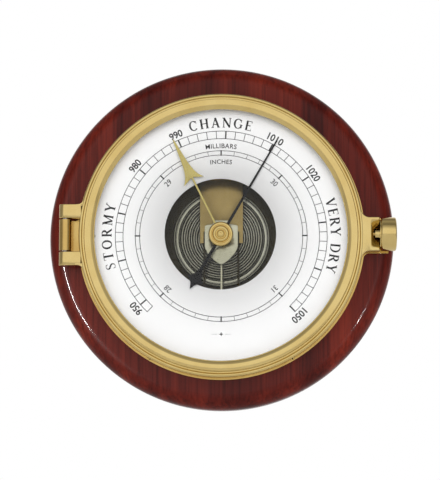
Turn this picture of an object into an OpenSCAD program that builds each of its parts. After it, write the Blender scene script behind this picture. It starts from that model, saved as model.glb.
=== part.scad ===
// Wall-hung aneroid barometer in a brass porthole case on a round wooden board.
// Every module is drawn face-up: X to the right, Y up the dial, Z out of the wall towards the reader.
// place() stands the drawing up, so the finished part has +Z up and its dial facing -Y, with the wall at Y = 0.

/* [Wooden board] */
// Outer radius of the board
board_r = 105; // [104:0.5:110]
// Thickness of the board
board_t = 22; // [22:0.5:23]
// Radius of the rounded front shoulder
board_round = 10; // [8:0.5:12]
// Radius of the bore that takes the case
board_bore_r = 80.5; // [80.3:0.1:81]

/* [Case] */
// Outer radius of the case flange
flange_r = 87; // [86.5:0.1:88]
// Thickness of the case flange
flange_t = 3; // [2.5:0.1:3]
// Outer radius of the spun cup
cup_r = 80; // [79.8:0.1:80]
// Wall of the spun cup
cup_wall = 1; // [0.8:0.1:1.1]

/* [Bezel] */
// Outer radius of the hinged bezel
bezel_r = 85.7; // [85:0.1:86]
// Radius of the window that shows the dial
window_r = 76; // [75:0.1:76.5]
// Height of the bezel's flange above the wall
bezel_top = 35.2; // [35:0.1:35.4]
// Height of the raised ring above the bezel's flange
bezel_step = 1.6; // [1.2:0.1:2]
// Thickness of the window glass
glass_t = 2.5; // [2:0.1:2.5]

/* [Hinge and clamp] */
// Distance of the hinge axis from the dial's centre
hinge_x = 93.9; // [93.5:0.1:94.5]
// Radius of the hinge knuckle
knuckle_r = 3.7; // [3.4:0.1:3.8]
// Half length of the middle knuckle
knuckle_half = 9.4; // [8:0.1:9.6]
// Half height of the two outer ears together
ear_half = 18.5; // [17:0.5:20]
// Radius of the thumb screw's head
thumb_r = 10.15; // [9:0.05:10.2]
// Length of the thumb screw's head
thumb_len = 9.3; // [8:0.1:11]

/* [Dial and hands] */
// Radius of the opening that shows the capsule
aperture_r = 33.7; // [30:0.1:34]
// How far the opening sits to the right of the dial's centre
aperture_x = -0.5; // [-1.5:0.1:0]
// How far the opening sits above the dial's centre
aperture_y = 1.1; // [0:0.1:1.5]
// Length of the black pressure hand from its centre
hand_len = 68; // [60:1:70]
// Length of the brass set hand from its centre
set_len = 65.5; // [60:0.5:68]
// Radius of the set hand's knob
set_knob_r = 7.6; // [6:0.1:8]

/* [Movement] */
// Outer radius of the aneroid capsule
capsule_r = 29.6; // [28:0.1:30]
// Half width of the leaf spring
spring_half = 13.1; // [10:0.1:13.5]
// Thickness of the leaf spring
spring_t = 0.9; // [0.6:0.1:0.9]
// Radius of the drum that the chain winds on
drum_r = 1; // [0.9:0.05:1]

/* [Hidden] */
$fn = 96;

flange_z = board_t;
flange_top = flange_z + flange_t;
bezel_z = flange_top + 0.4;
ring_top = bezel_top + bezel_step;
hinge_z = bezel_top - knuckle_r;
thumb_z = board_t + thumb_r + 0.35;
tab_half = 10.2;
tab_end = 95.3;
tab_z = 27.6;
seat_z = bezel_top - 0.8;                  // underside of the lip that holds the glass
gasket_t = 0.35;
glass_z = seat_z - gasket_t - glass_t;     // inner face of the glass
glass_top = glass_z + glass_t;
dial_z = 27;                               // printed face of the dial
base_z = 5;
base_top = 6.6;
reading = -30.1;                           // pressure hand at 1010 mbar, turned from 12 o'clock
setting = 26.4;                            // set hand at 989 mbar
rocker_y = -33;
rocker_z = 10.9;
crank = 2;
chain_z = 20.1;
brass = [0.85, 0.68, 0.35];
nickel = [0.74, 0.74, 0.66];
steel = [0.55, 0.56, 0.58];

module place() { rotate([90, 0, 0]) children(); }

// A ring of rectangular section
module ring(r_out, r_in, z0, z1) {
    translate([0, 0, z0]) difference() {
        cylinder(r = r_out, h = z1 - z0);
        translate([0, 0, -1]) cylinder(r = r_in, h = z1 - z0 + 2);
    }
}
// A straight rod along X
module rod_x(r, x0, x1, y, z) { translate([x0, y, z]) rotate([0, 90, 0]) cylinder(r = r, h = x1 - x0); }
// A straight rod along Y
module rod_y(r, y0, y1, x, z) { translate([x, y0, z]) rotate([-90, 0, 0]) cylinder(r = r, h = y1 - y0); }
// A slotted screw pointing down, with its head resting on z
module cheese_screw(r_head, h_head, r_shank, l_shank, slot = 0.6) {
    difference() {
        union() {
            cylinder(r = r_head, h = h_head);
            translate([0, 0, -l_shank]) cylinder(r = r_shank, h = l_shank);
        }
        translate([-r_head - 1, -slot / 2, h_head * 0.5]) cube([2 * r_head + 2, slot, h_head]);
    }
}
// The concave corner piece between a round flange and a straight lug, standing from z0 to z1
module root_fillet(R, y, rf, side, z0, z1) {
    q = y + rf - 0.1;
    xc = sqrt((R + rf - 0.15) * (R + rf - 0.15) - q * q);
    k = (R - 1) / (R + rf);
    for (m = [1, -1]) scale([side, m, 1]) translate([0, 0, z0]) linear_extrude(height = z1 - z0)
        difference() {
            polygon([[xc, y - 0.5], [xc, q], [xc * k, q * k], [sqrt(R * R - y * y) - 1.5, y - 0.5]]);
            translate([xc, q]) circle(r = rf);
        }
}

// ---- board and hanger ----
keyhole_y = 90.5;
module mount_board() {
    color([0.36, 0.12, 0.08]) difference() {
        rotate_extrude() difference() {
            union() {
                translate([board_bore_r, 0]) square([board_r - board_bore_r, board_t - board_round]);
                translate([board_bore_r, 0]) square([board_r - board_round - board_bore_r, board_t]);
                translate([board_r - board_round, board_t - board_round]) circle(r = board_round);
            }
            translate([0, -20]) square([board_r + 10, 20]);
        }
        // shallow recess for the hanger plate, and the deeper pocket for the wall screw's head
        translate([-18.1, keyhole_y - 5.6, -1]) cube([36.2, 16.2, 2.6]);
        translate([0, keyhole_y, -1]) cylinder(r = 5.4, h = 10);
        translate([-4.6, keyhole_y, -1]) cube([9.2, 6.6, 10]);
        for (x = [-13, 13]) translate([x, keyhole_y + 2.5, 0]) cylinder(r = 1.25, h = 12);
        for (a = [60, 180 + 60, 120, 300]) rotate([0, 0, a]) translate([83.5, 0, flange_z - 14]) cylinder(r = 1.35, h = 20);
    }
}
module hanger_plate() {
    color(steel) translate([0, 0, 0]) difference() {
        translate([-18, keyhole_y - 5.5, 0]) cube([36, 16, 1.5]);
        translate([0, keyhole_y, -1]) cylinder(r = 4.5, h = 4);
        translate([-2.3, keyhole_y, -1]) cube([4.6, 6, 4]);
        translate([0, keyhole_y + 6, -1]) cylinder(r = 2.3, h = 4);
        for (x = [-13, 13]) translate([x, keyhole_y + 2.5, -0.01]) { cylinder(r = 1.35, h = 4); cylinder(r1 = 2.8, r2 = 1.35, h = 1.3); }
    }
}
module hanger_screws() {
    color(steel) for (x = [-13, 13]) translate([x, keyhole_y + 2.5, 0]) difference() {
        union() {
            translate([0, 0, 0.05]) cylinder(r1 = 2.65, r2 = 1.2, h = 1.3);
            cylinder(r = 1.2, h = 10);
        }
        translate([-4, -0.3, -1]) cube([8, 0.6, 1.6]);
        translate([0, 0, -1]) cylinder(r = 4, h = 1.05);
    }
}

// ---- case ----
module case_cup() {
    color(brass) difference() {
        union() {
            ring(cup_r, cup_r - cup_wall, 1, flange_top + 1.6);
            translate([0, 0, 1]) cylinder(r = cup_r - 0.3, h = 1);
        }
        translate([0, 0, 0]) cylinder(r = 3, h = 4);
        for (a = [30, 150, 270]) rotate([0, 0, a]) translate([38, 0, 0]) cylinder(r = 1.6, h = 4);
    }
}
module case_flange() {
    color(brass) difference() {
        union() {
            translate([0, 0, flange_z]) cylinder(r = flange_r, h = flange_t);
            // lug and knuckle of the hinge
            translate([-hinge_x - knuckle_r + 0.3, -knuckle_half, flange_z]) cube([20, 2 * knuckle_half, flange_t]);
            translate([-hinge_x - knuckle_r + 0.3, -knuckle_half + 0.05, flange_z + 0.05]) cube([2 * knuckle_r - 0.6, 2 * knuckle_half - 0.1, hinge_z - flange_z - 0.4]);
            rod_y(knuckle_r, -knuckle_half, knuckle_half, -hinge_x, hinge_z);
            root_fillet(flange_r, knuckle_half, 3, -1, flange_z, flange_top);
            // tab under the clamp
            translate([70, -tab_half - 0.5, flange_z]) cube([31, 2 * tab_half + 1, flange_t]);
            root_fillet(flange_r, tab_half + 0.5, 4, 1, flange_z, flange_top);
        }
        translate([0, 0, flange_z - 1]) cylinder(r = cup_r + 0.02, h = flange_t + 2);
        rod_y(1.55, -20, 20, -hinge_x, hinge_z);
        rod_x(thumb_r + 0.7, 94.6, 110, 0, thumb_z);
        translate([87.3, 0, flange_z - 1]) cylinder(r = 1, h = flange_t + 2);
        for (a = [60, 180 + 60, 120, 300]) rotate([0, 0, a]) translate([83.5, 0, flange_z - 1]) {
            cylinder(r = 1.6, h = 10);
            translate([0, 0, flange_t + 1 - 1.3]) cylinder(r1 = 1.6, r2 = 2.9, h = 1.4);
        }
    }
}
module flange_screws() {
    color(brass) for (a = [60, 240, 120, 300]) rotate([0, 0, a]) translate([83.5, 0, 0]) difference() {
        union() {
            translate([0, 0, flange_top - 1.25]) cylinder(r1 = 1.5, r2 = 2.7, h = 1.2);
            translate([0, 0, flange_z - 12]) cylinder(r = 1.3, h = 13.5);
        }
        translate([-4, -0.35, flange_top - 0.8]) cube([8, 0.7, 2]);
    }
}
// Upright post that the thumb screw's tip bears on
module latch_post() {
    color(brass) union() {
        translate([86.3, -6, flange_top]) cube([2, 12, 33.4 - flange_top]);
        translate([87.3, 0, flange_z + 0.2]) cylinder(r = 0.95, h = flange_t + 1);
    }
}
module hinge_pin() {
    color(steel) rod_y(1.5, -ear_half + 0.2, ear_half - 0.2, -hinge_x, hinge_z);
}

// ---- bezel ----
module bezel_ring() {
    color(brass) difference() {
        union() {
            rotate_extrude() union() {
                translate([window_r + 1, bezel_z]) square([bezel_r - window_r - 1, bezel_top - bezel_z - 1]);
                translate([window_r + 1, bezel_z]) square([bezel_r - window_r - 2, bezel_top - bezel_z]);
                translate([bezel_r - 1, bezel_top - 1]) circle(r = 1);
                translate([window_r, seat_z - 1]) square([5.8, ring_top - seat_z]);
                translate([window_r + 1, seat_z]) square([4.3, ring_top - seat_z]);
                translate([window_r + 1, ring_top - 1]) circle(r = 1);
                translate([82.2 - 0.5, ring_top - 1]) square([0.5, 0.6]);
            }
            // hinge ears
            for (s = [1, -1]) scale([1, s, 1]) {
                rod_y(knuckle_r, knuckle_half + 0.8, ear_half, -hinge_x, hinge_z);
                translate([-hinge_x, knuckle_half + 0.8, hinge_z - knuckle_r]) cube([hinge_x - 81, ear_half - knuckle_half - 0.8, 2 * knuckle_r]);
            }
            root_fillet(bezel_r, ear_half, 3, -1, hinge_z - knuckle_r, bezel_top);
            // clamp tab
            translate([80, -tab_half, tab_z]) cube([tab_end - 80, 2 * tab_half, bezel_top - tab_z]);
            root_fillet(bezel_r, tab_half, 5, 1, tab_z, bezel_top);
        }
        // seat for glass and retaining ring, and the wider mouth that goes over the case's rim
        translate([0, 0, bezel_z - 1]) cylinder(r = 79.6, h = seat_z - bezel_z + 1);
        translate([0, 0, bezel_z - 1]) cylinder(r = 81, h = 3.6);
        rod_y(1.6, -ear_half - 1, ear_half + 1, -hinge_x, hinge_z);
        // pocket for the latch post, and the thumb screw's thread and countersink
        translate([85.7, -6.8, tab_z - 3]) cube([3.3, 13.6, 34 - tab_z + 3]);
        rod_x(1.83, 87, 100, 0, thumb_z);
        translate([91.0, 0, thumb_z]) rotate([0, 90, 0]) cylinder(r1 = 1.83, r2 = 6.4, h = tab_end - 91.0 + 0.01);
    }
}
module window_glass() { color([0.85, 0.93, 0.95, 0.35]) ring(79.2, 3.05, glass_z, glass_top); }
module glass_gasket() { color([0.08, 0.08, 0.08]) ring(79.3, window_r + 0.15, glass_top, seat_z); }
module retaining_ring() {
    color(brass) difference() {
        ring(79.45, 77.2, glass_z - 2.1, glass_z);
        translate([0, 0, glass_z - 3.1]) cylinder(r = 78.2, h = 2.2);
    }
}
module thumb_screw() {
    x0 = tab_end + 0.65;
    color(brass) union() {
        rod_x(1.75, 88.45, 93, 0, thumb_z);
        rod_x(3.1, 92.6, x0 + 0.1, 0, thumb_z);
        translate([x0, 0, thumb_z]) rotate([0, 90, 0]) rotate_extrude() union() {
            square([thumb_r - 0.8, thumb_len]);
            translate([0, 0.8]) square([thumb_r, thumb_len - 1.6]);
            translate([thumb_r - 0.8, 0.8]) circle(r = 0.8);
            translate([thumb_r - 0.8, thumb_len - 0.8]) circle(r = 0.8);
            polygon([[0, thumb_len - 0.1], [thumb_r - 1.2, thumb_len - 0.1], [thumb_r - 4, thumb_len + 0.35], [0, thumb_len + 0.6]]);
        }
    }
}
module clamp_washer() {
    color(brass) translate([tab_end + 0.1, 0, thumb_z]) rotate([0, 90, 0]) difference() {
        cylinder(r = 8.6, h = 0.5);
        translate([0, 0, -1]) cylinder(r = 3.2, h = 3);
    }
}

// ---- set hand on the glass ----
module glass_bush() {
    color([0.9, 0.9, 0.86]) difference() {
        union() {
            translate([0, 0, glass_z]) cylinder(r = 3, h = glass_t + 0.1);
            translate([0, 0, glass_top + 0.02]) cylinder(r = 5, h = 0.5);
        }
        translate([0, 0, glass_z - 1]) cylinder(r = 1.66, h = 6);
    }
}
module set_knob() {
    z0 = glass_top + 0.6;
    color(brass) union() {
        translate([0, 0, glass_z - 1.6]) cylinder(r = 1.6, h = 3 + glass_t);
        translate([0, 0, z0]) rotate_extrude() difference() {
            union() {
                square([set_knob_r - 1.2, 4.6]);
                translate([0, 0.6]) square([set_knob_r, 2.8]);
                translate([0, 0]) square([set_knob_r - 0.6, 2]);
                translate([set_knob_r - 1.2, 3.4]) circle(r = 1.2);
            }
            translate([3.9, 4.9]) circle(r = 1.3);
        }
        translate([0, 0, z0 + 4.5]) cylinder(r1 = 1.5, r2 = 1.1, h = 0.5);
    }
}
module set_washer() { color(brass) ring(4.2, 1.75, glass_z - 0.75, glass_z - 0.1); }
module set_hand() {
    L = set_len;
    color(brass) translate([0, 0, glass_z - 1.25]) rotate([0, 0, setting]) difference() {
        union() {
            cylinder(r = 3.1, h = 0.4);
            linear_extrude(height = 0.4) polygon([[-0.8, 0], [-0.75, L * 0.596], [-2.8, L * 0.575], [-6.8, L * 0.556], [-3.6, L * 0.62],
                [-2, L * 0.69], [-1.35, L * 0.77], [-0.75, L * 0.88], [0, L], [0.75, L * 0.88], [1.35, L * 0.77], [2, L * 0.69],
                [3.6, L * 0.62], [6.8, L * 0.556], [2.8, L * 0.575], [0.75, L * 0.596], [0.8, 0]]);
        }
        translate([0, 0, -1]) cylinder(r = 1.65, h = 3);
    }
}
module set_nut() {
    color(brass) translate([0, 0, glass_z - 1.85]) difference() {
        cylinder(r = 2.7, h = 0.55, $fn = 6);
        translate([0, 0, -1]) cylinder(r = 1.65, h = 3);
    }
}

// ---- dial ----
module dial_plate() {
    color([0.96, 0.96, 0.96]) difference() {
        translate([0, 0, dial_z - 1]) cylinder(r = 78.6, h = 1);
        translate([aperture_x, aperture_y, dial_z - 2]) cylinder(r = aperture_r, h = 3);
        for (a = [0, 180]) rotate([0, 0, a]) translate([77.2, 0, dial_z - 2]) cylinder(r = 0.75, h = 4);
    }
}
module dial_ring() {
    color([0.75, 0.75, 0.75]) difference() {
        ring(cup_r - cup_wall - 0.05, 74.6, 20.5, dial_z - 1);
        translate([0, 0, 19.5]) cylinder(r = 78, h = dial_z - 1 - 19.5 - 1.2);
        for (a = [0, 180]) rotate([0, 0, a]) translate([77.2, 0, dial_z - 4]) cylinder(r = 0.75, h = 4);
    }
}
module dial_screws() {
    color([0.9, 0.9, 0.9]) for (a = [0, 180]) rotate([0, 0, a]) translate([77.2, 0, dial_z]) cheese_screw(1.2, 0.6, 0.7, 2.2, 0.35);
}

// ---- movement ----
module movement_base() {
    color([0.72, 0.6, 0.36]) difference() {
        translate([0, 0, base_z]) cylinder(r = 46, h = base_top - base_z);
        translate([0, 0, base_z - 1]) cylinder(r = 2.46, h = 4);
        for (a = [30, 150, 270]) rotate([0, 0, a]) translate([38, 0, base_z - 1]) cylinder(r = 1.55, h = 4);
    }
}
module base_spacers() {
    color(brass) for (a = [30, 150, 270]) rotate([0, 0, a]) translate([38, 0, 0]) ring(3.4, 1.55, 2, base_z);
}
module movement_screws() {
    color(steel) for (a = [30, 150, 270]) rotate([0, 0, a]) translate([38, 0, 1]) rotate([180, 0, 0]) cheese_screw(2.9, 0.85, 1.5, 5.5, 0.7);
}
// One wall of the capsule: concentric corrugations between r0 and r1
function wave(r) = (r < 9 || r > 26.4) ? 0 : 0.55 * sin((r - 9) / 2.9 * 360);
module diaphragm(z, t, up) {
    rs = [for (i = [0:1:96]) 3 + i * (capsule_r - 1.4 - 3) / 96];
    translate([0, 0, z]) scale([1, 1, up]) rotate_extrude() polygon(concat([for (r = rs) [r, wave(r)]], [for (i = [96:-1:0]) [rs[i], wave(rs[i]) + t]]));
}
capsule_mid = 10.4;
module capsule_lower() {
    color([0.62, 0.62, 0.58]) union() {
        diaphragm(capsule_mid - 1.9, 0.4, -1);
        ring(capsule_r, capsule_r - 1.5, capsule_mid - 2.3, capsule_mid);
        translate([0, 0, 7.35]) cylinder(r = 5, h = 1.2);
    }
}
module capsule_upper() {
    color([0.62, 0.62, 0.58]) union() {
        diaphragm(capsule_mid + 1.5, 0.4, 1);
        ring(capsule_r, capsule_r - 1.5, capsule_mid + 0.02, capsule_mid + 1.9);
        translate([0, 0, 0]) rotate_extrude() translate([capsule_r - 0.75, capsule_mid + 1.9]) circle(r = 0.7);
    }
}
module capsule_post() {
    color(brass) difference() {
        union() {
            translate([0, 0, capsule_mid + 1.55]) cylinder(r = 2.9, h = 0.3);
            translate([0, 0, capsule_mid + 1.95]) cylinder(r = 4, h = 1.1);
            translate([0, 0, capsule_mid + 1.6]) cylinder(r = 1.2, h = 18 - capsule_mid - 1.6);
        }
        rod_x(0.42, -3, 3, 0, 17.55);
    }
}
module post_pin() { color(steel) rod_x(0.4, -2.6, 2.6, 0, 17.55); }
module adjusting_screw() {
    color(brass) translate([0, 0, 3.2]) rotate([180, 0, 0]) difference() {
        union() {
            cylinder(r = 3.6, h = 0.9);
            translate([0, 0, -4.1]) cylinder(r = 2.4, h = 4.2);
        }
        translate([-5, -0.4, 0.45]) cube([10, 0.8, 1]);
    }
}
// Side outline of the leaf spring: a shallow arch from the clamp to the capsule's post
function arch(y) = 15.2 + 0.45 * (1 - y / 40) + 1.5 * sin(max(0, min(180, (36 - y) / 29 * 180)));
module leaf_spring() {
    ys = [for (i = [0:1:30]) 39.5 - i * 42.8 / 30];
    color([0.70, 0.58, 0.36]) difference() {
        rotate([90, 0, 90]) translate([0, 0, -spring_half]) linear_extrude(height = 2 * spring_half)
            polygon(concat([for (y = ys) [y, arch(y)]], [for (i = [30:-1:0]) [ys[i], arch(ys[i]) + spring_t]]));
        translate([0, 0, 10]) cylinder(r = 1.6, h = 12);
    }
}
module spring_bracket() {
    color(brass) difference() {
        translate([-14, 36.4, base_top]) cube([28, 4.8, 15.05 - base_top]);
        for (x = [-10, 10]) translate([x, 40.3, base_top - 1]) cylinder(r = 0.5, h = 20);
    }
}
module spring_clamp() {
    color(brass) difference() {
        union() {
            translate([-14, 36.4, 16.35]) cube([28, 4.8, 1.5]);
            translate([-14, 39.7, 15.1]) cube([28, 1.5, 1.3]);
        }
        for (x = [-10, 10]) translate([x, 40.3, 10]) cylinder(r = 0.55, h = 20);
    }
}
module clamp_screws() {
    color(steel) for (x = [-10, 10]) translate([x, 40.3, 17.9]) cheese_screw(0.85, 0.7, 0.45, 6, 0.3);
}
lever_z = 16.62;
module lever_arm() {
    color(nickel) difference() {
        union() {
            translate([-4.5, -3.2, lever_z]) cube([9, 8.2, 0.5]);
            translate([-0.5, rocker_y - crank - 1.1, lever_z]) cube([1, 34, 0.7]);
        }
        translate([0, 0, 10]) cylinder(r = 1.6, h = 12);
        translate([0, rocker_y - crank, 10]) cylinder(r = 0.32, h = 12);
        for (x = [-3.2, 3.2]) translate([x, 2.5, 10]) cylinder(r = 0.5, h = 12);
    }
}
module lever_screws() {
    color(steel) for (x = [-3.2, 3.2]) translate([x, 2.5, lever_z + 0.52]) cheese_screw(0.95, 0.6, 0.45, 0.5, 0.3);
}
module link_rod() {
    color(steel) union() {
        translate([0, rocker_y - crank, rocker_z + 0.8]) cylinder(r = 0.3, h = lever_z + 1.3 - rocker_z - 0.8);
        translate([-0.35, rocker_y - crank, rocker_z]) rotate([0, 90, 0]) ring(0.95, 0.65, 0, 0.7);
    }
}
module rocker_shaft() {
    color(steel) union() {
        rod_x(0.75, -9.2, 9.2, rocker_y, rocker_z);
        rod_x(0.5, -10.6, 10.6, rocker_y, rocker_z);
        // crank that the link drives
        translate([0.75, rocker_y - crank - 0.7, rocker_z - 0.8]) cube([0.9, crank + 0.7, 1.6]);
        rod_x(0.35, -0.6, 1, rocker_y - crank, rocker_z);
        // upright arm that pulls the chain
        translate([0.75, rocker_y - 0.4, rocker_z]) cube([1, 0.8, chain_z - rocker_z + 0.5]);
    }
}
module rocker_bearings() {
    color(brass) for (s = [1, -1]) scale([s, 1, 1]) difference() {
        union() {
            translate([9.4, rocker_y - 2, base_top]) cube([1.3, 4, rocker_z - base_top + 2]);
            translate([9.4, rocker_y - 2, base_top]) cube([5, 4, 1]);
        }
        rod_x(0.56, 8, 12, rocker_y, rocker_z);
    }
}
module pull_chain() {
    color(steel) translate([drum_r + 0.05, rocker_y + 0.7, chain_z - 0.25]) cube([0.35, -rocker_y - 0.7, 0.5]);
}
module arbor_cock() {
    color(brass) difference() {
        union() {
            translate([-10.9, -5.5, 18.6]) cube([21.8, 9, 0.8]);
            for (s = [1, -1]) translate([s * 10.3 - 0.6, -37.5, 18.6]) cube([1.2, 34, 0.8]);
            for (s = [1, -1]) translate([s * 10.3, -37.5, 18.6]) cylinder(r = 2.2, h = 0.8);
        }
        translate([0, 0, 18]) cylinder(r = 0.56, h = 3);
        for (s = [1, -1]) translate([s * 10.3, -37.5, 18]) cylinder(r = 0.8, h = 3);
        for (s = [1, -1]) translate([s * 6.2, 0, 18]) cylinder(r = 0.55, h = 3);
    }
}
module cock_pillars() {
    color(brass) for (s = [1, -1]) translate([s * 10.3, -37.5, 0]) ring(2.1, 0.8, base_top, 18.6);
}
module cock_screws() {
    color(steel) for (s = [1, -1]) translate([s * 10.3, -37.5, 19.4]) cheese_screw(1.6, 0.8, 0.75, 6, 0.4);
}
// Shield-shaped upper plate that steadies the pointer arbor, with its tail to a blunt point
function shield(u, side) = [side * 10.1 * pow(u, 1.1), -6.3 - 10.6 * (1 - u * u)];
module bridge_plate() {
    color(nickel) difference() {
        translate([0, 0, 21.9]) linear_extrude(height = 1) polygon(concat(
            [[-4.9, 9.9], [-5.2, 7.7], [-9.3, 5.4], [-10.1, -4]],
            [for (i = [16:-1:1]) shield(i / 16, -1)], [[0, -16.9]], [for (i = [1:1:16]) shield(i / 16, 1)],
            [[10.1, -4], [9.3, 5.4], [5.2, 7.7], [4.9, 9.9]]));
        translate([0, 0, 20]) cylinder(r = 0.66, h = 5);
        for (s = [1, -1]) translate([s * 6.2, 0, 20]) cylinder(r = 0.55, h = 5);
    }
}
module bridge_pillars() {
    color(brass) for (s = [1, -1]) translate([s * 6.2, 0, 0]) ring(1.1, 0.55, 19.4, 21.9);
}
module bridge_screws() {
    color(steel) for (s = [1, -1]) translate([s * 6.2, 0, 22.9]) cheese_screw(1.15, 0.55, 0.5, 4.2, 0.3);
}
module pointer_arbor() {
    color(steel) union() {
        translate([0, 0, 18.75]) cylinder(r = 0.5, h = 2);
        translate([0, 0, 19.5]) cylinder(r = 1.7, h = 0.2);
        translate([0, 0, 19.5]) cylinder(r = drum_r, h = 1.3);
        translate([0, 0, 20.6]) cylinder(r = 1.7, h = 0.2);
        translate([0, 0, 20.5]) cylinder(r = 0.6, h = 7);
        translate([0, 0, 27]) cylinder(r = 0.5, h = 2.1);
    }
}
module hairspring_collet() { color(brass) ring(1.35, 0.62, 20.9, 21.5); }
// Flat spiral from the collet to the stud
function spiral(i, off) = let (a = i * 12, r = 1.5 + i * 12 / 360 * 0.78 + off) [r * cos(a), r * sin(a)];
module hairspring() {
    color([0.35, 0.4, 0.6]) translate([0, 0, 21.05]) linear_extrude(height = 0.3)
        polygon(concat([for (i = [0:1:112]) spiral(i, -0.06)], [for (i = [112:-1:0]) spiral(i, 0.06)]));
}
module hairspring_stud() {
    color(brass) rotate([0, 0, 112 * 12]) translate([1.5 + 112 * 12 / 360 * 0.78 + 0.65, 0, 20.7]) cylinder(r = 0.5, h = 1.2);
}
module pressure_hand() {
    L = hand_len;
    color([0.08, 0.08, 0.09]) translate([0, 0, 27.9]) rotate([0, 0, reading]) difference() {
        union() {
            cylinder(r = 2, h = 1);
            translate([0, 0, 0.3]) linear_extrude(height = 0.35) polygon([[-0.95, 0], [-0.47, L - 1.5], [0, L], [0.47, L - 1.5], [0.95, 0],
                [0.95, -23.5], [1.7, -26.2], [3.4, -29], [4.8, -31.2], [3.2, -32.8], [1.5, -34.4], [0, -37.3],
                [-1.5, -34.4], [-3.2, -32.8], [-4.8, -31.2], [-3.4, -29], [-1.7, -26.2], [-0.95, -23.5]]);
        }
        translate([0, 0, -1]) cylinder(r = 0.52, h = 4);
    }
}

place() {
    mount_board();
    hanger_plate();
    hanger_screws();
    case_cup();
    case_flange();
    flange_screws();
    latch_post();
    hinge_pin();
    bezel_ring();
    window_glass();
    glass_gasket();
    retaining_ring();
    thumb_screw();
    clamp_washer();
    glass_bush();
    set_knob();
    set_washer();
    set_hand();
    set_nut();
    dial_plate();
    dial_ring();
    dial_screws();
    movement_base();
    base_spacers();
    movement_screws();
    capsule_lower();
    capsule_upper();
    capsule_post();
    post_pin();
    adjusting_screw();
    spring_bracket();
    spring_clamp();
    clamp_screws();
    leaf_spring();
    lever_arm();
    lever_screws();
    link_rod();
    rocker_shaft();
    rocker_bearings();
    pull_chain();
    arbor_cock();
    cock_pillars();
    cock_screws();
    bridge_plate();
    bridge_pillars();
    bridge_screws();
    pointer_arbor();
    hairspring_collet();
    hairspring();
    hairspring_stud();
    pressure_hand();
}
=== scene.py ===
# Looks for the wall barometer. Lengths in the helpers are millimetres in the face frame:
# x to the right, y up the dial, z out of the wall. P() turns them into the row frame in metres.
import bpy, bmesh
from math import sin, cos, pi, radians, degrees, sqrt, atan2, hypot
from mathutils import Vector, Matrix


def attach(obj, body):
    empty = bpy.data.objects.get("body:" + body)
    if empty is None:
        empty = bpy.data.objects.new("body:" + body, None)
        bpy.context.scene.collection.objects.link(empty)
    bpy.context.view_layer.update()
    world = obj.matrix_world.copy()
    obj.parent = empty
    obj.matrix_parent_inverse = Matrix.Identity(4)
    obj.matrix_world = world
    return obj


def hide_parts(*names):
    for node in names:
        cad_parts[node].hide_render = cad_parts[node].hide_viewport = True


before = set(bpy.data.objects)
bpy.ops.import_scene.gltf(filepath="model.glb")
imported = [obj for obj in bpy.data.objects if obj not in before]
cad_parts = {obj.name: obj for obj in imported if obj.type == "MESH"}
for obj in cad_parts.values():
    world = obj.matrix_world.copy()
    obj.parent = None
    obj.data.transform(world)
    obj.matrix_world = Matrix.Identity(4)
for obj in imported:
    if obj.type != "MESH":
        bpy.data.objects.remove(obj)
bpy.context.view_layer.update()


def P(x, y, z):
    return Vector((x / 1000.0, -z / 1000.0, y / 1000.0))


# ------------------------------------------------------------------ materials
def new_mat(name):
    m = bpy.data.materials.new(name)
    m.use_nodes = True
    nt = m.node_tree
    nt.nodes.clear()
    out = nt.nodes.new("ShaderNodeOutputMaterial")
    return m, nt, out


def node(nt, kind, **kw):
    n = nt.nodes.new(kind)
    for k, v in kw.items():
        setattr(n, k, v)
    return n


def put(n, name, v):
    n.inputs[name].default_value = v


def srgb(r, g, b):
    f = lambda c: c / 12.92 if c <= 0.04045 else ((c + 0.055) / 1.055) ** 2.4
    return (f(r / 255.0), f(g / 255.0), f(b / 255.0), 1.0)


def ramp(nt, stops):
    r = node(nt, "ShaderNodeValToRGB")
    e = r.color_ramp.elements
    while len(e) < len(stops):
        e.new(0.5)
    for i, (p, c) in enumerate(stops):
        e[i].position = p
        e[i].color = c
    return r


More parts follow.
